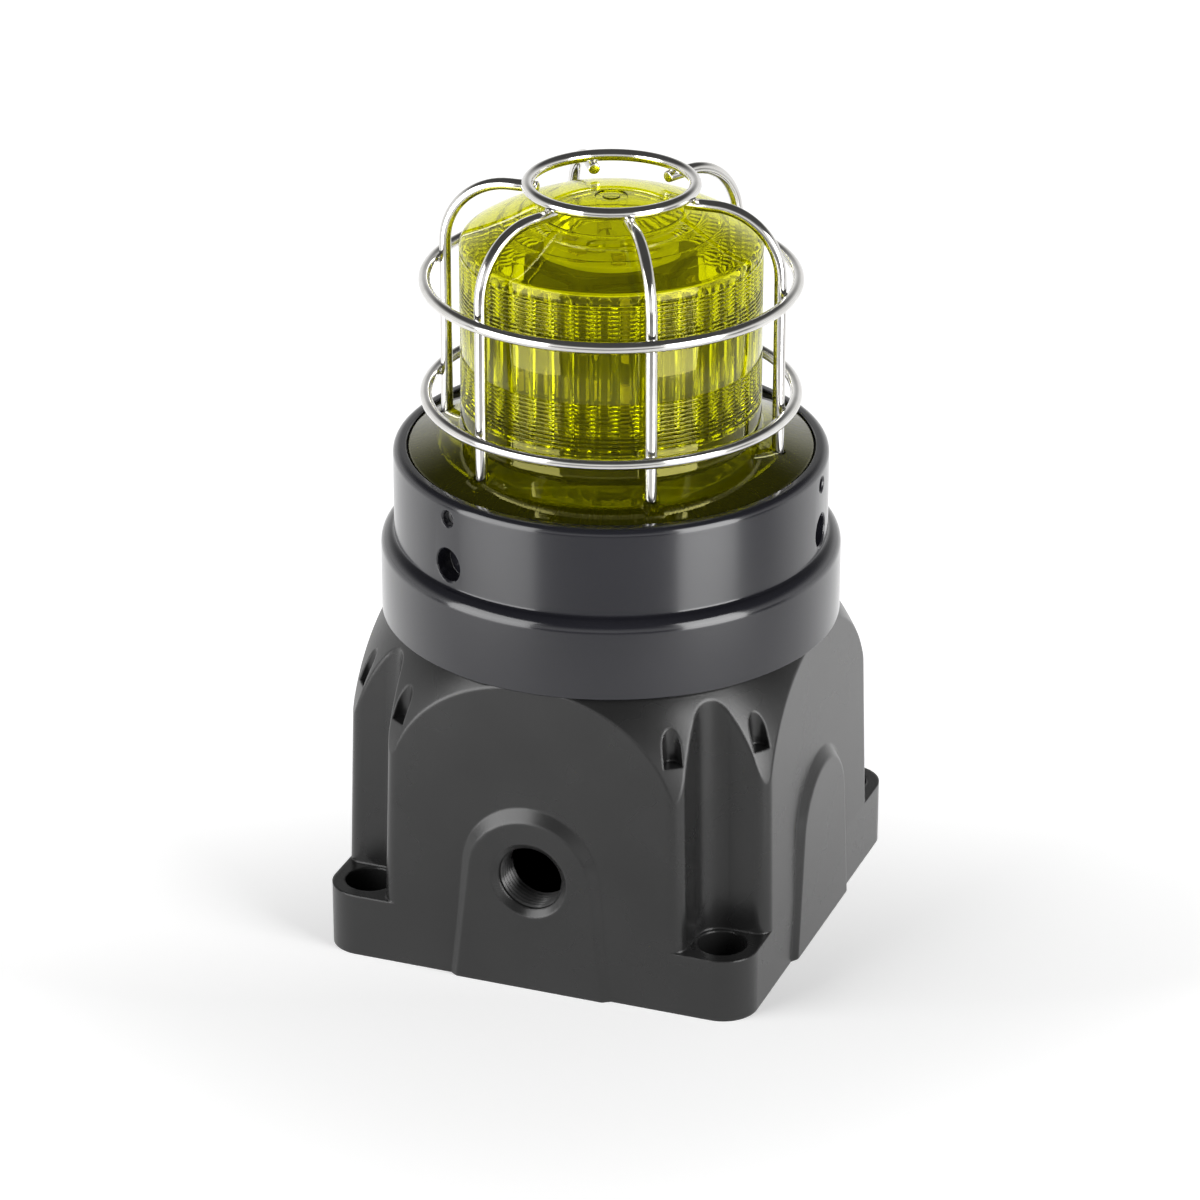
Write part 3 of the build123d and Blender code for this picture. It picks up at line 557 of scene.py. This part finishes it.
# %% Bend the six legs and weld them to the rings
top_wire_height = 210.4
bend = 18.5
leg_end = 20.6
leg_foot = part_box("guard_leg_1")[0].z / MM


def weld(mesh, place, long_way):
    """A bead of weld: a small ball pulled out along the crossing wires."""
    bead = bmesh.ops.create_icosphere(mesh, subdivisions=3, radius=1.0 * MM)["verts"]
    bmesh.ops.transform(mesh, verts=bead, matrix=Matrix.Diagonal((0.9, long_way, 1.25, 1)))
    bmesh.ops.translate(mesh, verts=bead, vec=place)


def pull(mesh, ends, way):
    """Extrude the open end of a wire along a vector and return its new end."""
    made = bmesh.ops.extrude_edge_only(mesh, edges=ends)["geom"]
    bmesh.ops.translate(mesh, verts=[v for v in made if isinstance(v, bmesh.types.BMVert)], vec=way)
    return [e for e in made if isinstance(e, bmesh.types.BMEdge) and all(v in made for v in e.verts)]


for number, azimuth in enumerate(leg_azimuths, start=1):
    leg = bmesh.new()
    bmesh.ops.create_circle(
        leg, segments=wire_segments, radius=wire * MM,
        matrix=Matrix.Translation((leg_circle * MM, 0, leg_foot * MM)))
    ends = leg.edges[:]
    for rise in (0.5, top_wire_height - bend - leg_foot - 0.5):
        ends = pull(leg, ends, (0, 0, rise * MM))
    centre = ((leg_circle - bend) * MM, 0, (top_wire_height - bend) * MM)
    made = bmesh.ops.spin(
        leg, geom=ends + list({v for e in ends for v in e.verts}), cent=centre, axis=(0, -1, 0),
        angle=pi / 2, steps=20)["geom_last"]
    ends = [e for e in made if isinstance(e, bmesh.types.BMEdge)]
    pull(leg, ends, ((leg_end - leg_circle + bend) * MM, 0, 0))
    caps = bmesh.ops.holes_fill(leg, edges=leg.edges[:], sides=wire_segments)["faces"]
    bmesh.ops.bevel(
        leg, geom=list({e for cap in caps for e in cap.edges}), offset=0.4 * MM, segments=3, profile=0.5,
        affect="EDGES", material=-1)
    for node in ("guard_upper_ring", "guard_lower_ring"):
        weld(leg, ((leg_circle + wire) * MM, 0, ring_heights[node] * MM), 1.25)
    weld(leg, (top_ring_radius * MM, 0, (top_wire_height + wire) * MM), 1.3)
    bmesh.ops.transform(leg, verts=leg.verts[:], matrix=azimuth_turn(azimuth))
    bmesh.ops.recalc_face_normals(leg, faces=leg.faces[:])
    piece = place_piece(
        "wire_leg_%d" % number, leg, guard_wire_steel, "cover", "guard_leg_%d" % number)

# %% [markdown]
# ## Threads
# A thread is one tooth of the section carried round and up: the spin operator does both when it is
# given a lift for each step. The cover's spigot was turned down to the root of its thread above,
# and gets a tooth with a pitch of 2 mm that shows when the cover is screwed off. The cable entry
# has a finer thread, of which the first turns show in the photograph.

# %% Threads as helical teeth
bore_metal = finish(
    "bore_metal", ((0.02, 0.02, 0.02), (0.04, 0.04, 0.04)), 4, 0.5, 0.006, 0.22)
entry_height = 33.7
entry_face = 63.9
tooth_share = 0.42
crest_share = 0.18


def thread(name, radius, depth, pitch, turns, base, material, body, matrix=Matrix()):
    """Helical tooth standing on a cylinder; a negative depth points inwards. Millimetres."""
    tooth = bmesh.new()
    steps = 64
    root, crest = radius * MM, (radius + depth) * MM
    root_half = tooth_share * pitch * MM
    crest_half = root_half * crest_share
    section = (
        (root, -root_half), (crest, -crest_half), (crest, crest_half), (root, root_half))
    tooth.faces.new([tooth.verts.new((r, 0, base * MM + z)) for r, z in section])
    bmesh.ops.spin(
        tooth, geom=tooth.verts[:] + tooth.edges[:] + tooth.faces[:], cent=(0, 0, 0), axis=(0, 0, 1),
        angle=2 * pi * turns, steps=int(steps * turns), dvec=(0, 0, pitch * MM / steps))
    bmesh.ops.recalc_face_normals(tooth, faces=tooth.faces[:])
    bmesh.ops.transform(tooth, verts=tooth.verts[:], matrix=matrix)
    piece = place_piece(name, tooth, material, body, crease=25)


entry_mouth = Matrix.Translation((0, -entry_face * MM, entry_height * MM))
entry_axis = entry_mouth @ Matrix.Rotation(-pi / 2, 4, "X")
thread(
    "entry_thread", radius=9.22, depth=-0.5, pitch=1.5, turns=5.5, base=2.6,
    material=bore_metal, body="housing", matrix=entry_axis)
thread(
    "cover_thread", radius=thread_root - 0.05, depth=1.1, pitch=2.0, turns=5.1, base=75.2,
    material=bore_metal, body="cover")

# %% [markdown]
# ## Studio
# The photograph is a product shot: a white room, and two tall soft lights standing on the floor
# left and right of the camera. Their lower edges show as short white bars in the lens. The lights
# are area lamps on a pale floor. The camera sees a white room, and so does a ray that comes through
# the lens. The light on the beacon comes mostly from the walls: the ceiling is dim, so a smoothstep
# on the direction's height fades the world from the horizon up. Dark reflections from above are
# what make paint look deep. The floor glows too. The camera sees it white far out and weaker near
# the beacon's foot, so that the soft shadow stays. Behind the beacon, metal and glass see it white
# as well, but a diffuse ray never sees the glow, so it puts no extra light on the beacon.

# %% Helpers for the studio's node trees
def maths(tree, operation, first, second):
    """Maths node on two inputs, each a number or another node's output."""
    made = tree.nodes.new("ShaderNodeMath")
    made.operation = operation
    for socket, source in zip(made.inputs, (first, second)):
        if isinstance(source, bpy.types.NodeSocket):
            tree.links.new(source, socket)
        else:
            socket.default_value = source
    return made.outputs["Value"]


def fade(tree, source, start, end, interpolation="SMOOTHSTEP"):
    """Map Range node; start and end are each a pair of an input and its level."""
    made = tree.nodes.new("ShaderNodeMapRange")
    made.interpolation_type = interpolation
    made.inputs["From Min"].default_value, made.inputs["To Min"].default_value = start
    made.inputs["From Max"].default_value, made.inputs["To Max"].default_value = end
    tree.links.new(source, made.inputs["Value"])
    return made.outputs["Result"]


# %% Floor
camera_azimuth = 20.75
camera_elevation = 25.13
camera_distance = 1.4574
floor_radius = 6.0
floor_grey = 0.88
# Distances in metres, each with the strength of the floor's glow there
foot_glow, far_glow = (0.12, 0.20), (0.46, 1.0)
front_glow, back_glow = (-0.12, 0.12), (0.15, 0.9)

floor_mesh = bmesh.new()
bmesh.ops.create_circle(floor_mesh, cap_ends=True, segments=96, radius=floor_radius)
floor_data = bpy.data.meshes.new("studio_floor")
floor_mesh.to_mesh(floor_data)
floor_mesh.free()
floor = bpy.data.objects.new("studio_floor", floor_data)
bpy.context.scene.collection.objects.link(floor)
floor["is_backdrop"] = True

floor_paint = bpy.data.materials.new("floor_paint")
floor_paint.use_nodes = True
tree = floor_paint.node_tree
shader = tree.nodes["Principled BSDF"]
shader.inputs["Base Color"].default_value = (floor_grey, floor_grey, floor_grey, 1)
shader.inputs["Roughness"].default_value = 0.9
shader.inputs["Specular IOR Level"].default_value = 0.1
path = tree.nodes.new("ShaderNodeLightPath").outputs
place = tree.nodes.new("ShaderNodeTexCoord").outputs["Object"]

from_beacon = tree.nodes.new("ShaderNodeVectorMath")
from_beacon.operation = "LENGTH"
tree.links.new(place, from_beacon.inputs["Vector"])
around = fade(tree, from_beacon.outputs["Value"], foot_glow, far_glow)
shown = maths(tree, "MULTIPLY", around, path["Is Camera Ray"])

sweep_side = tree.nodes.new("ShaderNodeVectorMath")
sweep_side.operation = "DOT_PRODUCT"
sweep_side.inputs[1].default_value = (-sin(radians(camera_azimuth)), cos(radians(camera_azimuth)), 0)
tree.links.new(place, sweep_side.inputs[0])
behind = fade(tree, sweep_side.outputs["Value"], front_glow, back_glow)
no_fill = maths(tree, "SUBTRACT", 1.0, path["Is Diffuse Ray"])
mirrored = maths(tree, "MULTIPLY", behind, no_fill)

glow = tree.nodes.new("ShaderNodeEmission")
both = tree.nodes.new("ShaderNodeAddShader")
tree.links.new(maths(tree, "MAXIMUM", shown, mirrored), glow.inputs["Strength"])
tree.links.new(shader.outputs["BSDF"], both.inputs[0])
tree.links.new(glow.outputs["Emission"], both.inputs[1])
tree.links.new(both.outputs["Shader"], tree.nodes["Material Output"].inputs["Surface"])
floor_data.materials.append(floor_paint)
print("floor:", floor_radius, "m, with", len(tree.nodes), "nodes in its paint")

# %% World
# Heights of a direction's tip on a sphere of radius 1, each with the strength of the room there
wall, ceiling = (0.15, 0.95), (0.60, 0.07)
diffuse_share = 0.5
world = bpy.data.worlds.new("white_room")
bpy.context.scene.world = world
world.use_nodes = True
tree = world.node_tree
backdrop = tree.nodes["Background"]
direction = tree.nodes.new("ShaderNodeTexCoord")
height = tree.nodes.new("ShaderNodeSeparateXYZ")
path = tree.nodes.new("ShaderNodeLightPath").outputs
tree.links.new(direction.outputs["Generated"], height.inputs["Vector"])
room = fade(tree, height.outputs["Z"], wall, ceiling)
fill = fade(tree, path["Is Diffuse Ray"], (0.0, 1.0), (1.0, diffuse_share), "LINEAR")
dimmed = maths(tree, "MULTIPLY", room, fill)
seen = maths(tree, "MAXIMUM", path["Is Camera Ray"], path["Is Transmission Ray"])
tree.links.new(maths(tree, "MAXIMUM", dimmed, seen), backdrop.inputs["Strength"])
backdrop.inputs["Color"].default_value = (1, 1, 1, 1)
print("world:", len(tree.nodes), "nodes")


# %% Lights and camera
def view_axes(azimuth, elevation):
    """Unit vectors from the beacon to a viewer at an azimuth from -Y, and to that viewer's right."""
    a, e = radians(azimuth), radians(elevation)
    back = Vector((sin(a) * cos(e), -cos(a) * cos(e), sin(e)))
    return back, Vector((cos(a), sin(a), 0))


def soft_light(name, azimuth, distance, width, height, power):
    """Area lamp at an azimuth from -Y towards +X, turned to the beacon; metres and watts."""
    data = bpy.data.lights.new(name, "AREA")
    data.shape = "RECTANGLE"
    data.size, data.size_y = width, height
    data.energy = power
    lamp = bpy.data.objects.new(name, data)
    back = view_axes(azimuth, 0)[0]
    lamp.location = back * distance + Vector((0, 0, height / 2))
    lamp.rotation_mode = "QUATERNION"
    lamp.rotation_quaternion = back.to_track_quat("Z", "Y")
    bpy.context.scene.collection.objects.link(lamp)


softbox_distance = 0.46
softbox_height = 0.45
soft_light(
    "left_softbox", camera_azimuth - 58, softbox_distance, width=0.36, height=softbox_height, power=2.4)
soft_light(
    "right_softbox", camera_azimuth + 48, softbox_distance, width=0.26, height=softbox_height, power=2.5)

# The camera was fitted to the photograph: the focal length is a share of the picture's width
sensor_width = 36.0
focal_share = 5237 / 1200
aim_height = 0.0903
aim_left = 0.00305
camera_data = bpy.data.cameras.new("camera")
camera_data.sensor_width = sensor_width
camera_data.lens = focal_share * sensor_width
camera = bpy.data.objects.new("camera", camera_data)
bpy.context.scene.collection.objects.link(camera)
bpy.context.scene.camera = camera
back, right = view_axes(camera_azimuth, camera_elevation)
camera.location = Vector((0, 0, aim_height)) - right * aim_left + back * camera_distance
camera.rotation_mode = "QUATERNION"
camera.rotation_quaternion = back.to_track_quat("Z", "Y")
camera_data.clip_end = 20
bpy.context.scene.view_settings.view_transform = "Standard"
print("camera lens", round(camera_data.lens, 1), "mm")

# %% [markdown]
# ## The dressed beacon's size
# The box round every shown piece of the dressed beacon, with the floor left out.

# %% The box round the dressed beacon
low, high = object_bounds()
